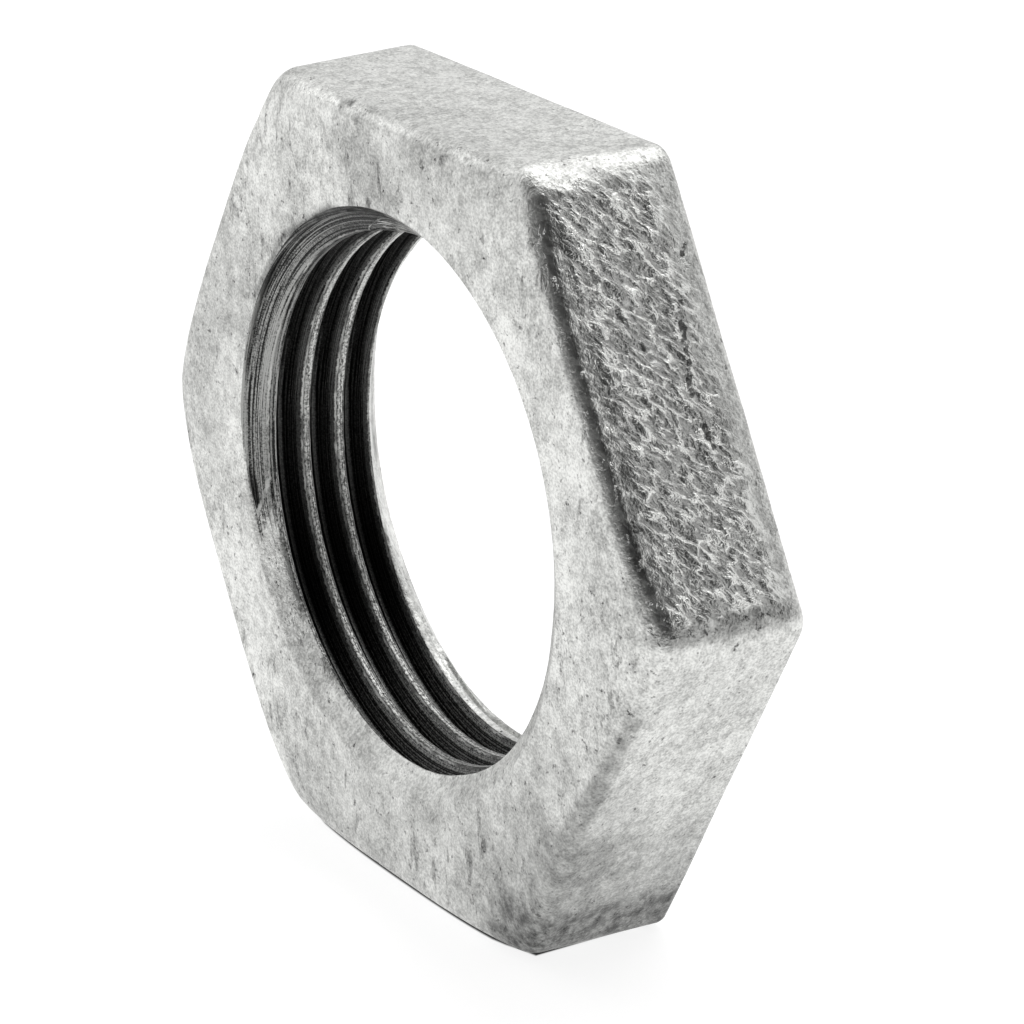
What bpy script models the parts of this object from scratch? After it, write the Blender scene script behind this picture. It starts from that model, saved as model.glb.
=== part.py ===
"""Hexagonal pipe backnut: one galvanised malleable iron casting, tapped right through.

The nut stands on one of its flats, as it does on a bench. The bore runs along Y, with the
crowned front face towards -Y and the flat seat towards +Y. The origin is the middle of the
nut's footprint, so the bottom flat lies in the plane z = 0.
"""

import math

import bmesh
import bpy
from mathutils import Vector

# Casting, in metres
ACROSS_FLATS = 0.046
THICKNESS = 0.010
SEAT_CORNER_RADIUS = 0.0016   # upright corner of the hexagon, next to the seat
FRONT_CORNER_RADIUS = 0.0029  # the same corner, next to the front face
SEAT_EDGE_BREAK = 0.0004
FRONT_FILLET = 0.0009
FRONT_PLANE_RADIUS = 0.0190   # inside this radius the front face is flat
CROWN_RADIUS = 0.0238         # about here it turns down towards the corners
CROWN_SLOPE = 0.40            # how fast it falls away beyond the turn
CROWN_BLEND = 0.0012          # softness of the turn

# Pipe thread: 55 degree form, right hand, for one inch pipe
THREADS_PER_INCH = 11
PITCH = 0.0254 / THREADS_PER_INCH
THREAD_MAJOR_RADIUS = 0.033249 / 2
BORE_RADIUS = 0.0306 / 2      # cored hole before tapping, and so the crests of the thread
FLANK_ANGLE = math.radians(27.5)
ROOT_ROUNDING = 0.137329 * PITCH
CREST_PHASE = 0.00014         # depth below the front face of a crest's middle, at +X
FRONT_COUNTERSINK_RADIUS = 0.0172
SEAT_COUNTERSINK_RADIUS = 0.0180
COUNTERSINK_ANGLE = math.radians(60)  # between the cone and the bore's axis
CUTTER_OVERRUN = 0.001        # how far a countersink's cutter stands out of its face
SPARE_TURNS = 2               # whole turns of the tap beyond each face

# Fineness of the mesh
CORNER_STEPS = 5
FLAT_STEPS = 6
FILLET_STEPS = 3
CROWN_STEPS = 4
TURN_STEPS = 72

AXIS_HEIGHT = ACROSS_FLATS / 2
FRONT_Y = -THICKNESS / 2
SEAT_Y = THICKNESS / 2
CORNERS = 6
SHARP_ANGLE = math.radians(24)


def clear_scene():
    for item in list(bpy.data.objects):
        bpy.data.objects.remove(item, do_unlink=True)


def galvanised_iron():
    material = bpy.data.materials.new("galvanised_iron")
    material.use_nodes = True
    shader = material.node_tree.nodes["Principled BSDF"]
    shader.inputs["Base Color"].default_value = (0.60, 0.61, 0.60, 1.0)
    shader.inputs["Metallic"].default_value = 1.0
    shader.inputs["Roughness"].default_value = 0.42
    return material


def mesh_object(name, builder):
    """Turn a finished bmesh into an object whose origin is the middle of the bore."""
    bmesh.ops.recalc_face_normals(builder, faces=builder.faces)
    mesh = bpy.data.meshes.new(name)
    builder.to_mesh(mesh)
    builder.free()
    mesh.shade_smooth()
    mesh.set_sharp_from_angle(angle=SHARP_ANGLE)
    item = bpy.data.objects.new(name, mesh)
    item.location.z = AXIS_HEIGHT
    bpy.context.scene.collection.objects.link(item)
    return item


def rounded_hexagon(corner_radius, inset):
    """Points (x, z) round a hexagon with corners at +X and -X, moved in by inset."""
    centre_distance = ACROSS_FLATS / math.sqrt(3) - corner_radius / math.cos(math.pi / CORNERS)
    arc_radius = corner_radius - inset
    arcs = []
    for corner in range(CORNERS):
        direction = 2 * math.pi * corner / CORNERS
        arc = []
        for step in range(CORNER_STEPS + 1):
            turn = direction + math.pi / CORNERS * (2 * step / CORNER_STEPS - 1)
            x = centre_distance * math.cos(direction) + arc_radius * math.cos(turn)
            z = centre_distance * math.sin(direction) + arc_radius * math.sin(turn)
            arc.append((x, z))
        arcs.append(arc)

    points = []
    for arc, next_arc in zip(arcs, arcs[1:] + arcs[:1]):
        points.extend(arc)
        start = Vector(arc[-1])
        end = Vector(next_arc[0])
        for step in range(1, FLAT_STEPS):
            points.append(tuple(start.lerp(end, step / FLAT_STEPS)))
    return points


def crown_depth(radius):
    """How far the front face has fallen away at this distance from the axis."""
    beyond = radius - CROWN_RADIUS
    return CROWN_SLOPE * (beyond + math.hypot(beyond, CROWN_BLEND)) / 2


def seat_rings():
    """The seat face's edge and the small break round it."""
    face = rounded_hexagon(SEAT_CORNER_RADIUS, SEAT_EDGE_BREAK)
    side = rounded_hexagon(SEAT_CORNER_RADIUS, 0.0)
    return [
        [(x, SEAT_Y, z) for x, z in face],
        [(x, SEAT_Y - SEAT_EDGE_BREAK, z) for x, z in side],
    ]


def front_rings():
    """The fillet round the front, following the crown, then the crown in to the flat middle."""
    rings = []
    for step in range(FILLET_STEPS + 1):
        turn = math.pi / 2 * step / FILLET_STEPS
        inset = FRONT_FILLET * (1 - math.cos(turn))
        depth = FRONT_FILLET * (1 - math.sin(turn))
        outline = rounded_hexagon(FRONT_CORNER_RADIUS, inset)
        rings.append([(x, FRONT_Y + crown_depth(math.hypot(x, z)) + depth, z) for x, z in outline])
    edge = rings[-1]
    for step in range(1, CROWN_STEPS + 1):
        part = step / CROWN_STEPS
        ring = []
        for x, _, z in edge:
            radius = math.hypot(x, z)
            inner = radius + (FRONT_PLANE_RADIUS - radius) * part
            depth = crown_depth(inner) if step < CROWN_STEPS else 0.0
            ring.append((x * inner / radius, FRONT_Y + depth, z * inner / radius))
        rings.append(ring)
    return rings


def loft(rings):
    """A closed solid through rings that all have the same number of points."""
    builder = bmesh.new()
    loops = [[builder.verts.new(point) for point in ring] for ring in rings]
    count = len(loops[0])
    for loop, next_loop in zip(loops, loops[1:]):
        for index in range(count):
            after = (index + 1) % count
            builder.faces.new((loop[index], loop[after], next_loop[after], next_loop[index]))
    builder.faces.new(loops[0])
    builder.faces.new(loops[-1])
    return builder


def add_casting(material):
    casting = mesh_object("backnut", loft(seat_rings() + front_rings()))
    casting.data.materials.append(material)
    return casting


def groove_profile():
    """One pitch of the thread, from a crest's front edge, as (distance along bore, radius)."""
    root_centre = THREAD_MAJOR_RADIUS - ROOT_ROUNDING
    tangent_radius = root_centre + ROOT_ROUNDING * math.sin(FLANK_ANGLE)
    tangent_half = ROOT_ROUNDING * math.cos(FLANK_ANGLE)
    groove_half = tangent_half + math.tan(FLANK_ANGLE) * (tangent_radius - BORE_RADIUS)
    crest_half = PITCH / 2 - groove_half
    return [
        (-crest_half, BORE_RADIUS),
        (crest_half, BORE_RADIUS),
        (PITCH / 2 - tangent_half, tangent_radius),
        (PITCH / 2, THREAD_MAJOR_RADIUS),
        (PITCH / 2 + tangent_half, tangent_radius),
    ]


def add_tap():
    """The bore and its helical grooves as one solid, longer than the nut at both ends."""
    profile = groove_profile()
    turns = math.ceil(THICKNESS / PITCH) + 2 * SPARE_TURNS
    start_y = FRONT_Y + CREST_PHASE - SPARE_TURNS * PITCH
    last = turns * TURN_STEPS

    builder = bmesh.new()
    rows = []
    for step in range(last + 1):
        turn = 2 * math.pi * step / TURN_STEPS
        rise = start_y + PITCH * step / TURN_STEPS
        row = []
        for along, radius in profile:
            # The angle falls as the groove goes deeper: a right-hand thread
            point = (radius * math.cos(turn), rise + along, -radius * math.sin(turn))
            row.append(builder.verts.new(point))
        rows.append(row)

    for step in range(last):
        for index in range(len(profile) - 1):
            near, far = rows[step], rows[step + 1]
            builder.faces.new((near[index], far[index], far[index + 1], near[index + 1]))
        if step + TURN_STEPS < last:
            near, far = rows[step + TURN_STEPS], rows[step + TURN_STEPS + 1]
            builder.faces.new((rows[step][-1], rows[step + 1][-1], far[0], near[0]))

    front_edge = [row[0] for row in rows[:TURN_STEPS + 1]] + rows[0][:0:-1]
    seat_edge = [row[-1] for row in rows[last - TURN_STEPS:]] + rows[last][-2::-1]
    for edge, y in ((front_edge, start_y), (seat_edge, start_y + turns * PITCH)):
        centre = builder.verts.new((0.0, y, 0.0))
        for here, after in zip(edge, edge[1:] + edge[:1]):
            builder.faces.new((here, after, centre))
    return as_cutter(mesh_object("tap", builder))


def add_countersink(name, rim_radius, face_y, outward):
    """A cone through the rim of the bore at face_y, where outward is -1 or +1 along Y."""
    slope = math.tan(COUNTERSINK_ANGLE)
    depth = (rim_radius - BORE_RADIUS) / slope + CUTTER_OVERRUN
    rings = []
    for along in (-depth, CUTTER_OVERRUN):
        radius = rim_radius + along * slope
        ring = []
        for step in range(TURN_STEPS):
            turn = 2 * math.pi * step / TURN_STEPS
            ring.append((radius * math.cos(turn), face_y + outward * along, radius * math.sin(turn)))
        rings.append(ring)
    return as_cutter(mesh_object(name, loft(rings)))


def as_cutter(item):
    item.hide_render = True
    item.display_type = "WIRE"
    return item


def cut(solid, cutter):
    modifier = solid.modifiers.new(cutter.name, "BOOLEAN")
    modifier.operation = "DIFFERENCE"
    modifier.solver = "EXACT"
    modifier.object = cutter


def main():
    clear_scene()
    casting = add_casting(galvanised_iron())
    cut(casting, add_tap())
    cut(casting, add_countersink("front_countersink", FRONT_COUNTERSINK_RADIUS, FRONT_Y, -1))
    cut(casting, add_countersink("seat_countersink", SEAT_COUNTERSINK_RADIUS, SEAT_Y, 1))


main()
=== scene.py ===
"""Looks of a galvanised hexagonal pipe backnut that stands on one of its flats.

The nut is one casting. Its fine surface is one mesh, which stands for the CAD solid: the
crowned front, the six flats, the flat seat and the tapped bore, with the unevenness that
sand casting and hot-dip galvanising leave. Lengths are in metres, in the CAD frame: the bore
runs along Y, the front face is towards -Y, and Z is up.
"""

import math

import bmesh
import bpy
import numpy as np
from mathutils import Euler, Matrix, Vector, noise


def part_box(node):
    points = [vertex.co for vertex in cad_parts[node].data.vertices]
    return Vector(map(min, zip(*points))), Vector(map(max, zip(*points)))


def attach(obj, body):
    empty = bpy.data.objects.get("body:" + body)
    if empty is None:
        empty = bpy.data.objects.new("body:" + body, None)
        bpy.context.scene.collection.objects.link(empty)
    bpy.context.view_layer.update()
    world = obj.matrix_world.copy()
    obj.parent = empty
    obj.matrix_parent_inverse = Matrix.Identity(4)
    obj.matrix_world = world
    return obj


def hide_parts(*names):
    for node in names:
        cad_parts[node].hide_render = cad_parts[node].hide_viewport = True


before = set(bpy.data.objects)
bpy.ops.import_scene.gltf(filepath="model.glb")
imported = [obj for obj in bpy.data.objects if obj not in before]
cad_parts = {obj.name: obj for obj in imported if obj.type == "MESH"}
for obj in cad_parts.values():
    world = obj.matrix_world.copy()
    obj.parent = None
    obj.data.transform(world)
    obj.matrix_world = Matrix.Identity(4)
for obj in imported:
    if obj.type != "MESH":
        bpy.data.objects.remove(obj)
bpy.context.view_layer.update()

NODE = "backnut"
MM = 0.001
NOISE_SEED = 1  # noise_vector takes its offsets from the clock without one

# The nut, from the frame
LOW, HIGH = (Vector(corner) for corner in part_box(NODE))
ACROSS_FLATS = HIGH.z - LOW.z
FRONT_Y = LOW.y
SEAT_Y = HIGH.y
THICKNESS = SEAT_Y - FRONT_Y
AXIS = Vector(((LOW.x + HIGH.x) / 2, 0.0, (LOW.z + HIGH.z) / 2))

# Casting details
FRONT_CORNER_RADIUS = 2.9 * MM
SEAT_CORNER_RADIUS = 1.6 * MM
FRONT_FILLET = 0.9 * MM
SEAT_EDGE_BREAK = 0.4 * MM
CROWN_RADIUS = 23.8 * MM
CROWN_SLOPE = 0.40
CROWN_BLEND = 1.2 * MM
FACE_CLEARANCE = 0.05 * MM
ROW_CLEARANCE = 0.06 * MM
CONE_MARGIN = 0.06 * MM

# One inch pipe thread: 55 degree form, 11 to the inch, right hand
PITCH = 25.4 * MM / 11
MAJOR_RADIUS = 33.249 * MM / 2
BORE_RADIUS = 30.6 * MM / 2
FLANK_ANGLE = math.radians(27.5)
ROOT_ROUNDING = 0.137329 * PITCH
CREST_PHASE = 0.14 * MM

# Rims of the countersinks: mean radius, how far off centre, how oval, and which way
FRONT_RIM = (17.22 * MM, 0.45 * MM, 0.22 * MM, math.radians(55))
SEAT_RIM = (17.30 * MM, 0.37 * MM, 0.45 * MM, math.radians(190))
FRONT_COUNTERSINK_SLOPE = math.tan(math.radians(60))
SEAT_COUNTERSINK_SLOPE = math.tan(math.radians(54))

# The core had shifted, so the bore reaches further out round its top
CORE_SHIFT = 0.55 * MM
CORE_DIRECTION = math.radians(80)
CORE_SPREAD = 0.17

# Stretches of the bore, by the angle from +X in radians: where each fades in, where it fades out
STEEP_COUNTERSINK = ((math.radians(20), math.radians(55)), (math.radians(125), math.radians(90)))
STEEPENING = 0.55
SCRAPED_TURN = ((1.35, 1.9), (3.62, 3.5))
SCRAPED_TAPER = (3.62, 2.95)
PLATED_TURN = ((1.2, 1.9), (5.2, 4.6))
# The grooves are painted lighter in the low stretch, and the scraped band painted darker, as shade, in
# the high one
LOW_BORE = ((3.7, 4.5), (6.1, 5.3))
HIGH_BORE = ((0.2, 1.0), (2.5, 1.8))

# Mesh fineness: columns in each sixth of a turn, starting at the corner on +X
SECTOR_COLUMNS = (192, 96, 80, 80, 80, 96)
CORNER_CROWDING = 0.35
FRONT_ROWS = 28
FILLET_ROWS = 6
FLAT_ROWS = 48
BREAK_ROWS = 3
SEAT_ROWS = 9

# Unevenness of the surface: size across and height, in millimetres
SWELL = (8.0, 0.035)
GRAIN = (1.1, 0.006)
PITS = (0.9, 0.05)
BORE_GRAIN = (0.8, 0.012)
CHIP_LENGTH = 1.8 * MM
CHIP_WIDTH = 0.9 * MM
SHARP_ANGLE = math.radians(50)

# The flats that were cast rough, by their place from +X round to +Z, and how rough each is
ROUGH_FLATS = {0: 1.0, 2: 0.3, 3: 0.3}

# Where the roughness fades in: height over the flat's plane, then distance from its edges
PLANE_FADE = (-0.25 * MM, -0.05 * MM)
CORNER_FADE = (0.5 * MM, 2.0 * MM)
SEAT_FADE = (0.5 * MM, 2.2 * MM)
FRONT_FADE = (1.2 * MM, 2.6 * MM)
FRONT_DULL_FADE = (0.3 * MM, 0.8 * MM)


def smooth_step(low, high, value):
    """0 at low, 1 at high, and smooth between them. Low can be the larger of the two."""
    part = min(max((value - low) / (high - low), 0.0), 1.0)
    return part * part * (3 - 2 * part)


def within(stretch, angle):
    """1 inside a stretch of the bore, 0 outside it."""
    start, end = stretch
    return smooth_step(*start, angle) * smooth_step(*end, angle)


def column_angles():
    """Angles round the bore, crowded towards the hexagon's corners."""
    angles = []
    for sector, count in enumerate(SECTOR_COLUMNS):
        for step in range(count):
            part = step / count
            part -= CORNER_CROWDING * math.sin(2 * math.pi * part) / (2 * math.pi)
            angles.append(math.pi / 3 * (sector + part))
    return np.array(angles)


def hexagon_radius(angles, corner_radius, inset):
    """Distance from the axis to a rounded hexagon with corners at +X and -X, moved in by inset."""
    from_flat = np.abs((angles % (math.pi / 3)) - math.pi / 6)
    from_corner = math.pi / 6 - from_flat
    centre = ACROSS_FLATS / math.sqrt(3) - corner_radius / math.cos(math.pi / 6)
    radius = corner_radius - inset
    tangent = np.arctan2(centre / 2, centre * math.cos(math.pi / 6) + radius)
    on_flat = (ACROSS_FLATS / 2 - inset) / np.cos(from_flat)
    under_root = np.maximum(radius ** 2 - (centre * np.sin(from_corner)) ** 2, 0.0)
    on_corner = centre * np.cos(from_corner) + np.sqrt(under_root)
    return np.where(from_flat < tangent, on_flat, on_corner)


def crown_depth(radius):
    """How far the front face has fallen away at this distance from the axis."""
    beyond = radius - CROWN_RADIUS
    return CROWN_SLOPE * (beyond + np.sqrt(beyond ** 2 + CROWN_BLEND ** 2)) / 2


def rim_radius(angle, rim):
    """Radius of a countersink's rim, which is a little off centre and a little oval."""
    mean, off_centre, oval, direction = rim
    return mean + off_centre * np.cos(angle - direction) + oval * np.cos(2 * (angle - direction))


def front_rows(angles):
    """Rows (radius, y) over the crowned front face, from the bore's rim out and round the fillet."""
    rows = []
    edge = hexagon_radius(angles, FRONT_CORNER_RADIUS, FRONT_FILLET)
    rim = rim_radius(angles, FRONT_RIM)
    for step in range(FRONT_ROWS):
        radius = rim + (edge - rim) * step / FRONT_ROWS
        rows.append((radius, FRONT_Y + crown_depth(radius)))
    for step in range(FILLET_ROWS + 1):
        turn = math.pi / 2 * (1 - step / FILLET_ROWS)
        radius = hexagon_radius(angles, FRONT_CORNER_RADIUS, FRONT_FILLET * (1 - math.cos(turn)))
        rows.append((radius, FRONT_Y + crown_depth(radius) + FRONT_FILLET * (1 - math.sin(turn))))
    return rows


def flat_rows(angles, front_y):
    """Rows over the six flats, from the front fillet to the small break next to the seat."""
    rows = []
    back_y = SEAT_Y - SEAT_EDGE_BREAK
    for step in range(1, FLAT_ROWS):
        part = step / FLAT_ROWS
        corner = FRONT_CORNER_RADIUS + (SEAT_CORNER_RADIUS - FRONT_CORNER_RADIUS) * part
        rows.append((hexagon_radius(angles, corner, 0.0), front_y + (back_y - front_y) * part))
    for step in range(BREAK_ROWS + 1):
        turn = math.pi / 2 * step / BREAK_ROWS
        inset = SEAT_EDGE_BREAK * (1 - math.cos(turn))
        y = back_y + SEAT_EDGE_BREAK * math.sin(turn)
        rows.append((hexagon_radius(angles, SEAT_CORNER_RADIUS, inset), np.full_like(angles, y)))
    return rows


def seat_rows(angles, edge):
    """Rows over the flat seat, from its edge in to the bore's rim."""
    rows = []
    rim = rim_radius(angles, SEAT_RIM) + np.array([bulge(angle) for angle in angles])
    for step in range(1, SEAT_ROWS + 1):
        radius = edge + (rim - edge) * step / SEAT_ROWS
        rows.append((radius, np.full_like(angles, SEAT_Y)))
    return rows


def outer_rows(angles):
    """Rows over the outside of the nut, from the front rim of the bore to the back rim."""
    front = front_rows(angles)
    flats = flat_rows(angles, front[-1][1])
    return front + flats + seat_rows(angles, flats[-1][0])


def groove_shape():
    """Half widths of the crest and of the rounded root, and the root's centre radius."""
    root_centre = MAJOR_RADIUS - ROOT_ROUNDING
    tangent_radius = root_centre + ROOT_ROUNDING * math.sin(FLANK_ANGLE)
    root_half = ROOT_ROUNDING * math.cos(FLANK_ANGLE)
    groove_half = root_half + math.tan(FLANK_ANGLE) * (tangent_radius - BORE_RADIUS)
    return PITCH / 2 - groove_half, root_half, root_centre


def groove_samples():
    """Places across one pitch, from the crest's middle, close together where the form turns."""
    crest_half, root_half, _ = groove_shape()
    flank = PITCH / 2 - root_half - crest_half
    half = [0.0, crest_half * 0.8, crest_half + flank * 0.06, crest_half + flank * 0.5]
    half += [PITCH / 2 - root_half, PITCH / 2 - root_half * 0.5]
    return half + [PITCH / 2] + [PITCH - place for place in half[:0:-1]]


def groove_radius(place):
    """Radius of the thread form at a distance from a crest's middle."""
    crest_half, root_half, root_centre = groove_shape()
    from_crest = abs((place + PITCH / 2) % PITCH - PITCH / 2)
    from_root = PITCH / 2 - from_crest
    if from_root < root_half:
        return root_centre + math.sqrt(ROOT_ROUNDING ** 2 - from_root ** 2)
    if from_crest <= crest_half:
        return BORE_RADIUS
    return BORE_RADIUS + (from_crest - crest_half) / math.tan(FLANK_ANGLE)


def first_crest_depth(angle):
    """How far behind the front face the first crest's middle lies.

    It comes forward as the angle grows, which makes the thread right-hand.
    """
    return CREST_PHASE - PITCH * angle / (2 * math.pi)


def bulge(angle):
    """How much further out the bore reaches round its top, where the core had shifted."""
    towards_top = math.cos(angle - CORE_DIRECTION)
    return CORE_SHIFT * max(0.0, (towards_top + CORE_SPREAD) / (1 + CORE_SPREAD))


def countersink_radius(angle, y):
    """Radius of the two countersinks here. The front one is steeper near the top of the bore."""
    front_slope = FRONT_COUNTERSINK_SLOPE * (1 - STEEPENING * within(STEEP_COUNTERSINK, angle))
    front = rim_radius(angle, FRONT_RIM) - (y - FRONT_Y) * front_slope
    back = rim_radius(angle, SEAT_RIM) + bulge(angle) - (SEAT_Y - y) * SEAT_COUNTERSINK_SLOPE
    return max(front, back)


def scraped(angle, y):
    """1 where the first turn inside the front rim was scraped bare, 0 elsewhere.

    The scraping fills the space between the rim and the first whole crest, and runs out to a
    point in the middle of it at its far end.
    """
    middle, half_width, softness = 0.55, 0.72, 0.12
    far_edge = first_crest_depth(angle) + PITCH + groove_shape()[0]
    across = (y - FRONT_Y) / far_edge
    half = half_width * smooth_step(*SCRAPED_TAPER, angle)
    inside = smooth_step(half + softness, half - softness, abs(across - middle))
    return inside * within(SCRAPED_TURN, angle)


def plated(angle, from_crest):
    """1 where the last part of a turn, next to the seat, kept its zinc."""
    return smooth_step(3.95 * PITCH, 4.0 * PITCH, from_crest) * within(PLATED_TURN, angle)


class Skin:
    """Vertices of the nut's surface, with what each one is part of.

    bore: 1 on the wall of the bore. cut: how far inside bare metal. bare: 1 where scraped.
    lay: a place that stays the same along the tap's path. low, high: which part of the bore: low, where
    the grooves get painted light, and high, where the scraped band gets painted shade.
    """

    def __init__(self):
        self.points = []
        self.bore = []
        self.cut = []
        self.bare = []
        self.lay = []
        self.low = []
        self.high = []
        self.faces = []

    def add(self, angle, radius, y, bore=0.0, cut=-1.0, bare=0.0):
        turn = 2 * math.pi * (y - FRONT_Y - first_crest_depth(angle)) / PITCH
        self.points.append((AXIS.x + radius * math.cos(angle), y, AXIS.z + radius * math.sin(angle)))
        self.bore.append(bore)
        self.cut.append(cut)
        self.bare.append(bare)
        self.lay.append((math.cos(turn), math.sin(turn), radius))
        self.low.append(within(LOW_BORE, angle) * bore)
        self.high.append(within(HIGH_BORE, angle) * bore)
        return len(self.points) - 1

    def face(self, *corners):
        unique = list(dict.fromkeys(corners))
        if len(unique) > 2:
            self.faces.append(unique)


def build_outside(skin, angles):
    """Adds the outer rows and returns the vertices of the front and the back rim of the bore."""
    rows = outer_rows(angles)
    count = len(angles)
    ids = []
    for radius, y in rows:
        ids.append([skin.add(angles[c], radius[c], y[c]) for c in range(count)])
    for row, next_row in zip(ids, ids[1:]):
        for c in range(count):
            after = (c + 1) % count
            skin.face(row[c], next_row[c], next_row[after], row[after])
    return ids[0], ids[-1]


def add_bore_point(skin, angle, y):
    """A point on the wall of the bore, either on the thread or on one of the countersinks.

    Its cut value is how far it lies, in millimetres, inside the metal that the tap laid bare:
    below 0 on a crest, on a countersink and where the zinc was kept.
    """
    from_crest = y - FRONT_Y - first_crest_depth(angle)
    place = from_crest % PITCH
    radius = groove_radius(place) + bulge(angle)
    cone = countersink_radius(angle, y)
    from_edge = min(place, PITCH - place) - groove_shape()[0]
    from_cone = 4 * (radius - cone - CONE_MARGIN)
    cut = min(from_edge, from_cone) / MM - 2.0 * plated(angle, from_crest)
    return skin.add(angle, max(radius, cone), y, 1.0, cut, scraped(angle, y))


def bore_column(skin, angle, front_lip, back_lip, samples):
    """Vertices across the wall of the bore at one angle. Those past a face are its lip instead."""
    column = []
    for turn in range(-1, math.ceil(THICKNESS / PITCH) + 1):
        for sample in samples:
            y = FRONT_Y + first_crest_depth(angle) + PITCH * turn + sample
            if y < FRONT_Y + ROW_CLEARANCE:
                column.append(front_lip)
            elif y > SEAT_Y - ROW_CLEARANCE:
                column.append(back_lip)
            else:
                column.append(add_bore_point(skin, angle, y))
    return column


def build_bore(skin, angles, front_rim, back_rim):
    """Adds the tapped bore. Its rows follow the helix and stop at the two rims.

    After a whole turn the helix has moved by one pitch, so the last column joins the first
    one a pitch's worth of rows further back.
    """
    samples = groove_samples()
    front_lip = [add_bore_point(skin, angle, FRONT_Y + FACE_CLEARANCE) for angle in angles]
    back_lip = [add_bore_point(skin, angle, SEAT_Y - FACE_CLEARANCE) for angle in angles]
    columns = []
    for c, angle in enumerate(angles):
        helix = bore_column(skin, angle, front_lip[c], back_lip[c], samples)
        columns.append([front_rim[c]] + helix + [back_rim[c]])
    moved = [front_lip[0]] * len(samples) + columns[0][1:-1 - len(samples)]
    columns.append([front_rim[0]] + moved + [back_rim[0]])
    for column, next_column in zip(columns, columns[1:]):
        for row in range(len(column) - 1):
            skin.face(column[row], next_column[row], next_column[row + 1], column[row + 1])


def skin_mesh(skin):
    mesh = bpy.data.meshes.new("casting")
    mesh.from_pydata(skin.points, [], skin.faces)
    builder = bmesh.new()
    builder.from_mesh(mesh)
    bmesh.ops.recalc_face_normals(builder, faces=builder.faces)
    builder.to_mesh(mesh)
    builder.free()
    store(mesh, "cut", np.array(skin.cut))
    store(mesh, "bare", np.array(skin.bare))
    store(mesh, "low_bore", np.array(skin.low))
    store(mesh, "high_bore", np.array(skin.high))
    store(mesh, "lay", np.array(skin.lay) * (PITCH / (2 * math.pi), PITCH / (2 * math.pi), 1.0))
    return mesh


def store(mesh, name, values):
    """Keeps one number or one vector for each vertex, for the material to read."""
    if values.ndim == 1:
        mesh.attributes.new(name, "FLOAT", "POINT").data.foreach_set("value", values)
    else:
        mesh.attributes.new(name, "FLOAT_VECTOR", "POINT").data.foreach_set("vector", values.ravel())


def hammered_masks(point, sector):
    """How rough and how dull the casting is here: 1 inside this flat, 0 beyond its edges."""
    facing = math.pi / 3 * (sector + 0.5)
    out = Vector((math.cos(facing), 0.0, math.sin(facing)))
    along = Vector((-math.sin(facing), 0.0, math.cos(facing)))
    place = point - AXIS
    half = ACROSS_FLATS / math.sqrt(3) / 2
    mask = smooth_step(*PLANE_FADE, place.dot(out) - ACROSS_FLATS / 2)
    mask *= smooth_step(*CORNER_FADE, half - abs(place.dot(along)))
    wander = 0.8 * MM * noise.fractal(point / (5 * MM), 1.0, 2.0, 3)
    mask *= smooth_step(*SEAT_FADE, SEAT_Y - point.y + wander)
    depth = point.y - FRONT_Y
    return mask * smooth_step(*FRONT_FADE, depth), mask * smooth_step(*FRONT_DULL_FADE, depth)


def hammered_relief(point, sector):
    """Height of the overlapping chips that run slantwise across a rough flat, in millimetres."""
    facing = math.pi / 3 * (sector + 0.5)
    down = point.x * math.sin(facing) - point.z * math.cos(facing)
    along = (point.y + down) / math.sqrt(2)
    across = (point.y - down) / math.sqrt(2)
    place = Vector((along / CHIP_LENGTH, across / CHIP_WIDTH, sector * 7.0))
    place += 0.3 * noise.noise_vector(place * 1.3)
    dents = noise.voronoi(place * 0.8)[0][0]
    flakes = noise.fractal(place, 0.75, 2.1, 5)
    swell = noise.fractal(place * 0.4, 1.0, 2.0, 2)
    return 0.08 * dents - 0.04 + 0.08 * flakes + 0.06 * swell


def casting_relief(point):
    """Height of the cast and galvanised surface over its true form, in millimetres."""
    mm = point / MM
    swell = noise.fractal(mm / SWELL[0], 1.0, 2.0, 2)
    grain = noise.fractal(mm / GRAIN[0], 0.9, 2.0, 3)
    pit = smooth_step(0.52, 0.8, noise.noise(mm / PITS[0] + Vector((31.0, 7.0, 3.0))))
    return SWELL[1] * swell + GRAIN[1] * grain - PITS[1] * pit


def roughen(mesh, bore):
    """Moves each vertex along its normal, and keeps where the metal is hammered and chipped."""
    hammered = np.zeros(len(mesh.vertices))
    chipped = np.zeros(len(mesh.vertices))
    moves = []
    for index, vertex in enumerate(mesh.vertices):
        point = vertex.co
        if bore[index] > 0.5:
            height = BORE_GRAIN[1] * noise.fractal(point / MM / BORE_GRAIN[0], 1.0, 2.0, 2)
        else:
            height = casting_relief(point)
            for sector, amount in ROUGH_FLATS.items():
                rough, dull = hammered_masks(point, sector)
                if dull > 0:
                    hammered[index] = amount * dull
                    chipped[index] = amount * rough
                    height += amount * rough * hammered_relief(point, sector)
        moves.append(vertex.normal * (height * MM))
    for vertex, move in zip(mesh.vertices, moves):
        vertex.co += move
    store(mesh, "hammered", hammered)
    store(mesh, "chipped", chipped)


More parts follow.
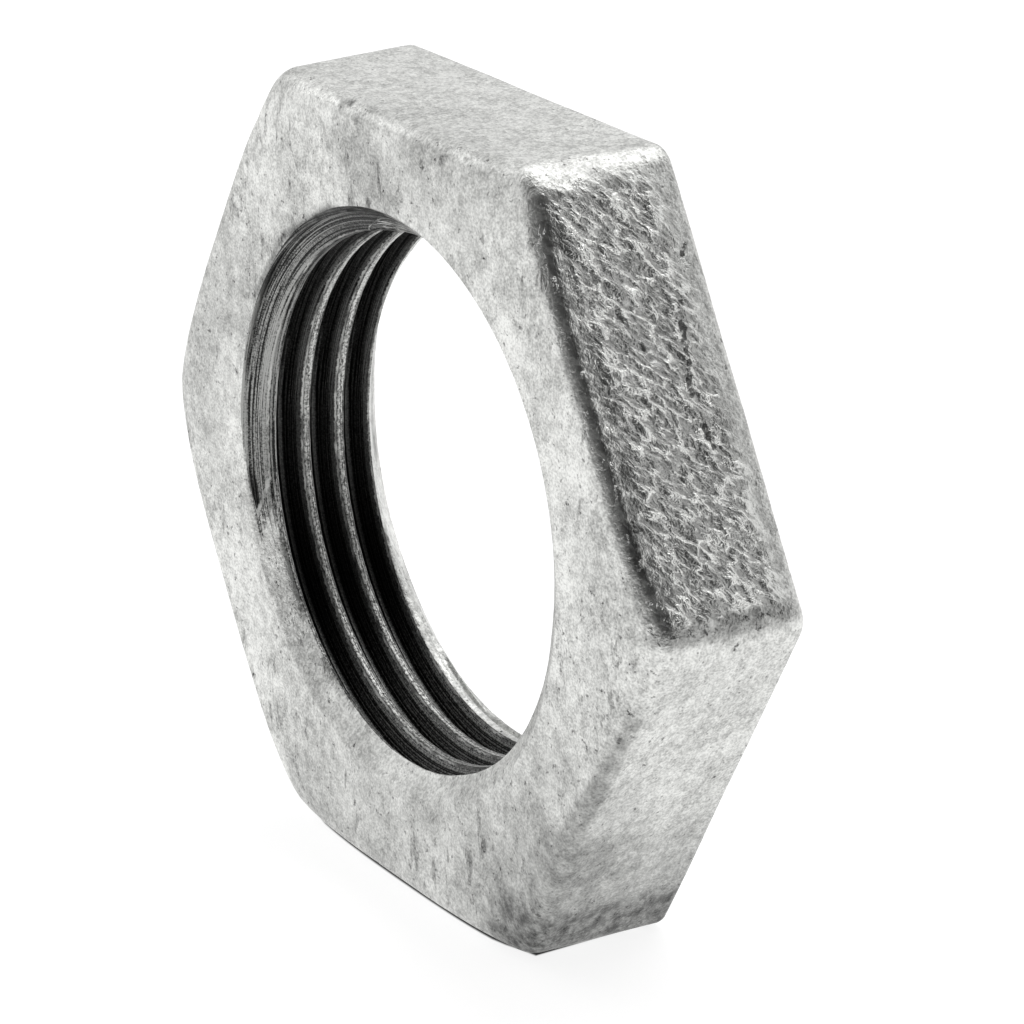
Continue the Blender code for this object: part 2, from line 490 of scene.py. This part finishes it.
# Marks on the surface, in millimetres: (start, end, radius, darkness from 0 to 1)
PATCHES = [
    ((26.0, -4.2, 23.9), (26.0, 3.6, 23.8), 0.6, 0.36),      # dirt below the rough flat
    ((23.0, -3.7, 29.2), (24.0, -4.1, 27.4), 0.5, 0.35),     # and by its front edge
    ((-2.0, -5.0, 42.6), (8.0, -5.0, 43.8), 3.2, 0.16),      # dull patches on the front
    ((18.0, -5.0, 10.0), (13.0, -5.0, 4.0), 5.0, 0.20),
    ((-6.0, -5.0, 2.0), (10.0, -5.0, 3.0), 5.5, 0.16),
    ((3.0, -5.0, 2.0), (11.0, -5.0, 6.0), 5.0, 0.16),
    ((-19.0, -5.0, 33.0), (-22.0, -5.0, 24.0), 4.0, 0.14),
    ((14.6, -4.0, 2.5), (14.2, 4.5, 1.6), 7.5, 0.36),        # painted shade: the low right flat darker towards the floor
    ((13.6, -4.2, 0.6), (13.4, 4.5, 0.2), 4.5, 0.68),
    ((17.4, -3.8, 7.4), (14.8, -3.8, 2.8), 3.2, 0.46),
    ((24.2, -4.5, 18.4), (22.4, -4.7, 15.4), 0.7, 0.36),     # crust beside the low right flat
    ((22.4, -4.7, 15.4), (17.1, -4.9, 8.4), 0.8, 0.42),
    ((17.1, -4.9, 8.4), (13.2, -4.6, 2.3), 0.9, 0.40),
    ((-4.8, -4.7, 45.8), (-4.0, -4.5, 45.8), 0.28, 0.65),    # painted shade of a small dent in the top edge, which the shape doesn't have
    ((-14.9, -4.7, 31.6), (-11.3, -4.7, 36.3), 0.34, 0.60),  # painted shadow round the top of the bore, under its front rim
    ((-11.3, -4.7, 36.3), (-6.0, -4.7, 39.3), 0.38, 0.75),
    ((-6.0, -4.7, 39.3), (-0.6, -4.7, 40.2), 0.34, 0.75),
    ((-10.7, 4.6, 35.8), (-15.6, 4.6, 28.8), 0.9, 0.55),     # and inside its far rim
    ((-15.6, 4.6, 28.8), (-16.4, 4.6, 20.1), 0.9, 0.55),
]
CRACKS = [
    ((17.3, 2.9, 39.0), (18.1, 2.5, 37.6), 0.25, 0.80),      # along the rough flat
    ((18.0, 2.6, 37.8), (19.0, 2.3, 36.0), 0.28, 1.0),
    ((19.0, 2.3, 36.0), (19.9, 1.9, 34.5), 0.28, 1.0),
    ((20.4, 2.0, 33.6), (21.4, 2.4, 31.9), 0.28, 0.85),
    ((15.9, 4.2, 41.5), (16.2, 3.8, 40.9), 0.20, 0.95),
    ((22.9, -3.8, 29.4), (23.1, -3.7, 29.0), 0.26, 0.9),     # pits by its front edge
    ((24.0, -4.1, 27.5), (24.1, -4.2, 27.3), 0.28, 0.9),
    ((25.1, -4.2, 25.5), (25.0, -4.1, 25.7), 0.30, 1.0),
    ((25.9, -3.4, 24.0), (26.0, -1.2, 23.8), 0.30, 0.75),    # lip under it
    ((26.0, 0.6, 23.9), (26.0, 3.4, 23.9), 0.30, 0.80),
]


def darkness(mesh, marks):
    """How dark these marks make each vertex: in full within half a mark's radius, not at all past 1.5."""
    places = np.empty(len(mesh.vertices) * 3)
    mesh.vertices.foreach_get("co", places)
    places = places.reshape(-1, 3) / MM
    darkest = np.zeros(len(places))
    for start, end, radius, strength in marks:
        start, reach = np.array(start), np.array(end) - np.array(start)
        along = np.clip((places - start) @ reach / (reach @ reach), 0.0, 1.0)
        away = np.linalg.norm(places - start - along[:, None] * reach, axis=1) / radius
        part = np.clip(1.5 - away, 0.0, 1.0)
        darkest = np.maximum(darkest, strength * part * part * (3 - 2 * part))
    return darkest


def build_nut():
    angles = column_angles()
    skin = Skin()
    front_rim, back_rim = build_outside(skin, angles)
    build_bore(skin, angles, front_rim, back_rim)
    mesh = skin_mesh(skin)
    store(mesh, "beside", np.array([1 - abs(vertex.normal.y) for vertex in mesh.vertices]))
    store(mesh, "patches", darkness(mesh, PATCHES))
    store(mesh, "cracks", darkness(mesh, CRACKS))
    roughen(mesh, skin.bore)
    mesh.shade_smooth()
    mesh.set_sharp_from_angle(angle=SHARP_ANGLE)
    nut = bpy.data.objects.new("backnut_casting", mesh)
    bpy.context.scene.collection.objects.link(nut)
    return nut


class Recipe:
    """A material's node tree. Each call adds a node or a few, and gives the last one's output."""

    def __init__(self, name):
        self.material = bpy.data.materials.new(name)
        self.material.use_nodes = True
        self.nodes = self.material.node_tree.nodes
        self.links = self.material.node_tree.links
        self.shader = self.nodes["Principled BSDF"]

    def feed(self, socket, value):
        if isinstance(value, bpy.types.NodeSocket):
            self.links.new(value, socket)
        else:
            socket.default_value = value

    def position(self):
        """Place on the nut in millimetres."""
        return self.scaled(self.nodes.new("ShaderNodeTexCoord").outputs["Object"], (1000, 1000, 1000))

    def attribute(self, name, output="Fac"):
        node = self.nodes.new("ShaderNodeAttribute")
        node.attribute_name = name
        return node.outputs[output]

    def scaled(self, vector, factors, turn=(0, 0, 0)):
        node = self.nodes.new("ShaderNodeMapping")
        self.feed(node.inputs["Vector"], vector)
        node.inputs["Scale"].default_value = factors
        node.inputs["Rotation"].default_value = turn
        return node.outputs["Vector"]

    def noise(self, vector, size, detail=3.0, roughness=0.55, distortion=0.0):
        """Soft random pattern from 0 to 1 whose largest features are about size across."""
        node = self.nodes.new("ShaderNodeTexNoise")
        self.feed(node.inputs["Vector"], vector)
        node.inputs["Scale"].default_value = 1.0 / size
        node.inputs["Detail"].default_value = detail
        node.inputs["Roughness"].default_value = roughness
        node.inputs["Distortion"].default_value = distortion
        return node.outputs["Fac"]

    def warped(self, vector, size, amount):
        """The same place, pushed about by a soft random pattern."""
        push = self.noise(vector, size, 1.0).node.outputs["Color"]
        node = self.nodes.new("ShaderNodeVectorMath")
        node.operation = "MULTIPLY_ADD"
        self.feed(node.inputs[0], push)
        node.inputs[1].default_value = (amount, amount, amount)
        self.feed(node.inputs[2], vector)
        return node.outputs["Vector"]

    def cells(self, vector, size, detail=0.0):
        """Random dents with sharp ridges between them, from 0 in a dent's middle to about 0.8."""
        node = self.nodes.new("ShaderNodeTexVoronoi")
        self.feed(node.inputs["Vector"], vector)
        node.inputs["Scale"].default_value = 1.0 / size
        node.inputs["Detail"].default_value = detail
        return node.outputs["Distance"]

    def spread(self, value, low, high, to_low=0.0, to_high=1.0):
        """Maps low..high to another range with smooth ends."""
        node = self.nodes.new("ShaderNodeMapRange")
        node.interpolation_type = "SMOOTHSTEP"
        self.feed(node.inputs["Value"], value)
        self.feed(node.inputs["From Min"], low)
        self.feed(node.inputs["From Max"], high)
        self.feed(node.inputs["To Min"], to_low)
        self.feed(node.inputs["To Max"], to_high)
        return node.outputs["Result"]

    def combine(self, operation, first, second):
        node = self.nodes.new("ShaderNodeMath")
        node.operation = operation
        self.feed(node.inputs[0], first)
        self.feed(node.inputs[1], second)
        return node.outputs[0]

    def add(self, value, extra, weight=1.0):
        """The value plus a weight times the extra."""
        return self.combine("ADD", value, self.combine("MULTIPLY", extra, weight))

    def dim(self, value, dark, strength=1.0):
        """The value, less by this share of itself where dark is 1."""
        left = self.combine("SUBTRACT", 1.0, self.combine("MULTIPLY", dark, strength))
        return self.combine("MULTIPLY", value, left)

    def blend(self, factor, first, second):
        """First where the factor is 0, second where it is 1."""
        node = self.nodes.new("ShaderNodeMix")
        self.feed(node.inputs["Factor"], factor)
        self.feed(node.inputs["A"], first)
        self.feed(node.inputs["B"], second)
        return node.outputs["Result"]

    def tint(self, grey, dark, light):
        """A colour from dark to light by a value from 0 to 1."""
        node = self.nodes.new("ShaderNodeValToRGB")
        self.feed(node.inputs["Fac"], grey)
        node.color_ramp.elements[0].color = (*dark, 1.0)
        node.color_ramp.elements[1].color = (*light, 1.0)
        return node.outputs["Color"]

    def bump(self, height):
        """Height in millimetres."""
        node = self.nodes.new("ShaderNodeBump")
        node.inputs["Distance"].default_value = MM
        self.feed(node.inputs["Height"], height)
        self.links.new(node.outputs["Normal"], self.shader.inputs["Normal"])


# The metal: its lightest colour, the lightness of a groove's lip, and roughness where it isn't zinc
ZINC_COLOUR = (0.86, 0.865, 0.842)
LIP_LIGHT = 0.62
HAMMERED_ROUGHNESS = 0.26
CUT_ROUGHNESS = 0.36


def zinc_look(recipe, place):
    """Dull zinc over the casting: lightness from 0 to 1, roughness, height in millimetres."""
    cloud = recipe.noise(place, 3.5, 6.0, 0.62)
    grain = recipe.noise(place, 0.6, 3.0, 0.6)
    dust = recipe.noise(place, 0.16, 2.0, 0.6)
    on_faces = recipe.spread(cloud, 0.3, 0.7, 0.62, 0.90)
    on_flats = recipe.spread(cloud, 0.3, 0.7, 0.69, 0.83)
    light = recipe.blend(recipe.attribute("beside"), on_faces, on_flats)
    light = recipe.add(light, recipe.spread(grain, 0.3, 0.7, -0.12, 0.12))
    light = recipe.add(light, recipe.spread(dust, 0.3, 0.7, -0.17, 0.17))
    streak = zinc_streaks(recipe, place)
    speck = recipe.spread(recipe.noise(place, 0.4, 3.0, 0.6), 0.64, 0.72)
    strength = recipe.blend(recipe.attribute("beside"), -0.36, -0.12)
    light = recipe.add(light, streak, strength)
    light = recipe.add(light, speck, -0.45)
    height = recipe.combine("MULTIPLY", grain, 0.07)
    height = recipe.add(height, dust, 0.03)
    height = recipe.add(height, streak, -0.04)
    height = recipe.add(height, speck, -0.04)
    rough = recipe.spread(cloud, 0.3, 0.7, 0.5, 0.38)
    return light, rough, height


def zinc_streaks(recipe, place):
    """Short upright smudges that come in patches."""
    slanted = recipe.scaled(place, (1.0, 1.0, 0.4), (0.0, math.radians(20), 0.0))
    streak = recipe.spread(recipe.noise(slanted, 0.8, 4.0, 0.65, 0.4), 0.56, 0.66)
    patches = recipe.spread(recipe.noise(place, 6.0, 3.0), 0.42, 0.58)
    return recipe.combine("MULTIPLY", streak, patches)


def hammered_look(recipe, place):
    """The flat that was cast rough: darker, with sharp chips slanting down towards the seat."""
    upright = recipe.scaled(place, (1.0, 1.0, 1.0), (0.0, math.radians(30), 0.0))
    slanted = recipe.scaled(upright, (1.0, 1.0, 1.0), (math.radians(45), 0.0, 0.0))
    lengthwise = recipe.warped(recipe.scaled(slanted, (1.0, 0.45, 1.0)), 0.6, 0.5)
    dents = recipe.cells(lengthwise, 0.42)
    chips = recipe.noise(lengthwise, 0.26, 3.0, 0.6)
    ridge_highlight = recipe.add(dents, recipe.combine("SUBTRACT", chips, 0.5), 0.8)
    # Painted highlight and shade: the high chips and the ridges between the dents are lighter, the dents
    # darker
    light = recipe.spread(chips, 0.3, 0.7, 0.36, 0.66)
    light = recipe.add(light, recipe.spread(ridge_highlight, 0.50, 0.72, 0.0, 0.50))
    height = recipe.add(recipe.combine("MULTIPLY", dents, 0.075), chips, 0.10)
    return light, height


def cut_look(recipe, place, lay, bare):
    """Bare metal in the thread's grooves, with the tap's fine lines running round the bore."""
    broad = recipe.noise(lay, 0.20, 3.0, 0.7)
    fine = recipe.noise(lay, 0.08, 2.0, 0.6)
    lines = recipe.add(recipe.combine("MULTIPLY", broad, 0.55), fine, 0.45)
    speckle = recipe.noise(place, 0.12, 3.0, 0.7)
    mottle = recipe.add(lines, recipe.combine("SUBTRACT", speckle, 0.5), 0.3)
    # Painted light and shade: the grooves are made very dark, as shade, except in the low stretch of the
    # bore, where they are painted lighter; the scraped band is painted darker in the high stretch
    shaded_groove = recipe.spread(mottle, 0.42, 0.72, 0.004, 0.17)
    low = recipe.spread(mottle, 0.47, 0.62, 0.004, 0.42)
    rubbed = recipe.spread(mottle, 0.44, 0.57, 0.02, 0.42)
    shaded = recipe.spread(mottle, 0.45, 0.60, 0.003, 0.28)
    groove = recipe.blend(recipe.attribute("low_bore"), shaded_groove, low)
    scraped_band = recipe.blend(recipe.attribute("high_bore"), rubbed, shaded)
    light = recipe.blend(bare, groove, scraped_band)
    height = recipe.add(recipe.combine("MULTIPLY", lines, 0.05), speckle, 0.02)
    return light, height


def crest_look(recipe, light, lay, place, depth):
    """Zinc on the thread's crests, scored by the tap, and the bright lip at each groove's edge."""
    scores = recipe.noise(lay, 0.10, 2.0, 0.6)
    chatter = recipe.noise(place, 0.16, 3.0, 0.65)
    tone = recipe.add(recipe.combine("MULTIPLY", scores, 0.5), chatter, 0.5)
    crest = recipe.spread(tone, 0.41, 0.59, 0.08, 0.78)
    light = recipe.blend(recipe.spread(depth, -0.36, -0.28), light, crest)
    lip = recipe.combine("MULTIPLY", recipe.spread(depth, -0.07, -0.02), recipe.spread(depth, 0.07, 0.02))
    kept = recipe.spread(recipe.noise(place, 1.4, 2.0), 0.38, 0.62, 0.2, 0.9)
    return light, recipe.combine("MULTIPLY", lip, kept)


def dirt_and_painted_shade_look(recipe, light, height, place):
    """Puts the patches, which are dirt and painted shade, and the dark, torn cracks over everything else.
    """
    torn = recipe.spread(recipe.noise(place, 0.5, 4.0, 0.7), 0.3, 0.7, -0.45, 0.25)
    crack = recipe.spread(recipe.add(torn, recipe.attribute("cracks")), 0.70, 0.95)
    uneven = recipe.spread(recipe.noise(place, 0.9, 6.0, 0.7), 0.32, 0.68, 0.7, 1.3)
    dirt_and_shade = recipe.combine("MULTIPLY", recipe.attribute("patches"), uneven)
    light = recipe.dim(light, recipe.combine("MINIMUM", dirt_and_shade, 0.95))
    return recipe.dim(light, crack, 0.8), recipe.add(height, crack, -0.12)


def galvanised_casting():
    recipe = Recipe("galvanised_casting")
    place = recipe.position()
    lay = recipe.scaled(recipe.attribute("lay", "Vector"), (1000, 1000, 1000))
    hammered = recipe.attribute("hammered")
    brushed = recipe.spread(recipe.noise(lay, 0.12, 2.0, 0.6), 0.35, 0.65, -0.35, 0.35)
    bare = recipe.spread(recipe.add(brushed, recipe.attribute("bare")), 0.42, 0.58)
    ragged = recipe.spread(recipe.noise(place, 0.35, 4.0, 0.7), 0.3, 0.7, -0.035, 0.035)
    depth = recipe.add(ragged, recipe.attribute("cut"))
    cut = recipe.combine("MAXIMUM", recipe.spread(depth, -0.09, -0.05), bare)

    light, rough, height = zinc_look(recipe, place)
    chip_light, chip_height = hammered_look(recipe, place)
    cut_light, cut_height = cut_look(recipe, place, lay, bare)
    light = recipe.blend(hammered, light, chip_light)
    height = recipe.add(height, chip_height, recipe.attribute("chipped"))
    light, lip = crest_look(recipe, light, lay, place, depth)
    light = recipe.blend(cut, light, cut_light)
    light = recipe.blend(lip, light, LIP_LIGHT)
    height = recipe.blend(cut, height, cut_height)
    rough = recipe.blend(cut, recipe.blend(hammered, rough, HAMMERED_ROUGHNESS), CUT_ROUGHNESS)
    light, height = dirt_and_painted_shade_look(recipe, light, height, place)

    recipe.feed(recipe.shader.inputs["Base Color"], recipe.tint(light, (0.0, 0.0, 0.0), ZINC_COLOUR))
    recipe.feed(recipe.shader.inputs["Roughness"], rough)
    recipe.shader.inputs["Metallic"].default_value = 1.0
    recipe.bump(height)
    return recipe.material


# Studio
CAMERA_AZIMUTH = math.radians(57.57)
CAMERA_ELEVATION = math.radians(20.65)
CAMERA_ROLL = math.radians(-0.316)
CAMERA_DISTANCE = 253.0 * MM
CAMERA_SIDESTEP = 7.04 * MM
CAMERA_LENS = 157.83


def add_camera():
    """Stands to the right of the front face's middle and looks past it, square to its own view."""
    data = bpy.data.cameras.new("camera")
    data.lens = CAMERA_LENS
    data.sensor_width = 36.0
    data.clip_start = 0.01
    data.clip_end = 50.0
    camera = bpy.data.objects.new("camera", data)
    turn = Euler((math.pi / 2 - CAMERA_ELEVATION, 0.0, CAMERA_AZIMUTH)).to_matrix()
    right, _, back = turn.col
    centre = Vector((AXIS.x, FRONT_Y, AXIS.z))
    place = centre + back * CAMERA_DISTANCE + right * CAMERA_SIDESTEP
    rolled = turn @ Matrix.Rotation(CAMERA_ROLL, 3, "Z")
    camera.matrix_world = Matrix.Translation(place) @ rolled.to_4x4()
    bpy.context.scene.collection.objects.link(camera)
    bpy.context.scene.camera = camera


# Outlines on the floor: how far outside the nut's flat bottom, and how much the floor glows there. It
# doesn't glow close round the nut, which paints a contact shadow there
FLOOR_GLOW_AND_CONTACT_SHADOW = ((0.0, 0.0), (0.40 * MM, 0.0), (0.55 * MM, 0.86), (3.0, 0.86))
FLOOR_CLEARANCE = 0.05 * MM
FOOTPRINT_HALF = 12.0 * MM
FOOTPRINT_STEPS = 25
FOOTPRINT_CORNER = 0.5 * MM


def footprint(reach):
    """Outline (x, y) on the floor, this far outside the nut's flat bottom."""
    outline = []
    for across in np.linspace(-FOOTPRINT_HALF, FOOTPRINT_HALF, FOOTPRINT_STEPS):
        front = FRONT_Y + FRONT_FILLET + crown_depth(math.hypot(across, AXIS.z))
        front += FOOTPRINT_CORNER * smooth_step(0.75, 1.0, abs(across) / FOOTPRINT_HALF)
        outline.append((across * (1 + reach / FOOTPRINT_HALF), front - reach))
    back = SEAT_Y - SEAT_EDGE_BREAK + reach
    return outline + [(outline[-1][0], back), (outline[0][0], back)]


def add_floor():
    """A glowing floor, out to 3 m, with a painted contact shadow: it doesn't glow in the narrow gap where
    the nut's rounded edges meet it.
    """
    mesh = bpy.data.meshes.new("floor")
    points = []
    glow_and_contact_shadow = []
    faces = []
    for reach, strength in FLOOR_GLOW_AND_CONTACT_SHADOW:
        outline = footprint(reach)
        count = len(outline)
        first = len(points)
        points += [(x, y, 0.0) for x, y in outline]
        glow_and_contact_shadow += [strength] * count
        for here in range(count if first else 0):
            after = (here + 1) % count
            faces.append((first + here, first + after, first - count + after, first - count + here))
    mesh.from_pydata(points, [], [tuple(range(count))] + faces)
    store(mesh, "glow_and_contact_shadow", np.array(glow_and_contact_shadow))
    floor = bpy.data.objects.new("floor", mesh)
    floor.location.z = LOW.z - FLOOR_CLEARANCE
    recipe = Recipe("pale_floor_with_painted_contact_shadow")
    recipe.shader.inputs["Base Color"].default_value = (0.3, 0.3, 0.3, 1.0)
    recipe.shader.inputs["Roughness"].default_value = 0.9
    recipe.shader.inputs["Emission Color"].default_value = (1.0, 1.0, 1.0, 1.0)
    # Painted contact shadow: the floor doesn't glow just round the nut's bottom
    recipe.feed(recipe.shader.inputs["Emission Strength"], recipe.attribute("glow_and_contact_shadow"))
    mesh.materials.append(recipe.material)
    bpy.context.scene.collection.objects.link(floor)


def add_softbox(name, azimuth, elevation, size, power, distance=0.6):
    """A square area light in a direction seen from the nut, azimuth 0 along +Y, turning to +X."""
    data = bpy.data.lights.new(name, "AREA")
    data.size = size
    data.energy = power
    light = bpy.data.objects.new(name, data)
    turn = math.radians(azimuth)
    rise = math.radians(elevation)
    away = Vector((math.sin(turn) * math.cos(rise), math.cos(turn) * math.cos(rise), math.sin(rise)))
    light.location = AXIS + away * distance
    light.rotation_euler = away.to_track_quat("Z", "Y").to_euler()
    bpy.context.scene.collection.objects.link(light)


DARK_SIDE = Vector((0.70, -0.45, 0.55)).normalized()
DARK_EDGES = (math.radians(46), math.radians(68))
ROOM_STRENGTH = 0.85
DARK_STRENGTH = 0.06


def add_world():
    """A pale room, darker over the far right."""
    world = bpy.data.worlds.new("studio")
    bpy.context.scene.world = world
    world.use_nodes = True
    nodes = world.node_tree.nodes
    links = world.node_tree.links
    direction = nodes.new("ShaderNodeTexCoord").outputs["Generated"]
    towards = nodes.new("ShaderNodeVectorMath")
    towards.operation = "DOT_PRODUCT"
    links.new(direction, towards.inputs[0])
    towards.inputs[1].default_value = DARK_SIDE
    shade = nodes.new("ShaderNodeMapRange")
    shade.interpolation_type = "SMOOTHSTEP"
    shade.inputs["From Min"].default_value = math.cos(DARK_EDGES[1])
    shade.inputs["From Max"].default_value = math.cos(DARK_EDGES[0])
    shade.inputs["To Min"].default_value = ROOM_STRENGTH
    shade.inputs["To Max"].default_value = DARK_STRENGTH
    links.new(towards.outputs["Value"], shade.inputs["Value"])
    background = nodes["Background"]
    background.inputs["Color"].default_value = (1.0, 1.0, 1.0, 1.0)
    links.new(shade.outputs["Result"], background.inputs["Strength"])
    bpy.context.scene.view_settings.view_transform = "Standard"


def main():
    noise.seed_set(NOISE_SEED)
    add_camera()
    add_floor()
    add_world()
    add_softbox("overhead", -15, 66, 0.5, 1.2)
    add_softbox("left", -114, 30, 0.3, 0.25)
    nut = build_nut()
    nut.data.materials.append(galvanised_casting())
    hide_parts(NODE)
    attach(nut, "root")


main()
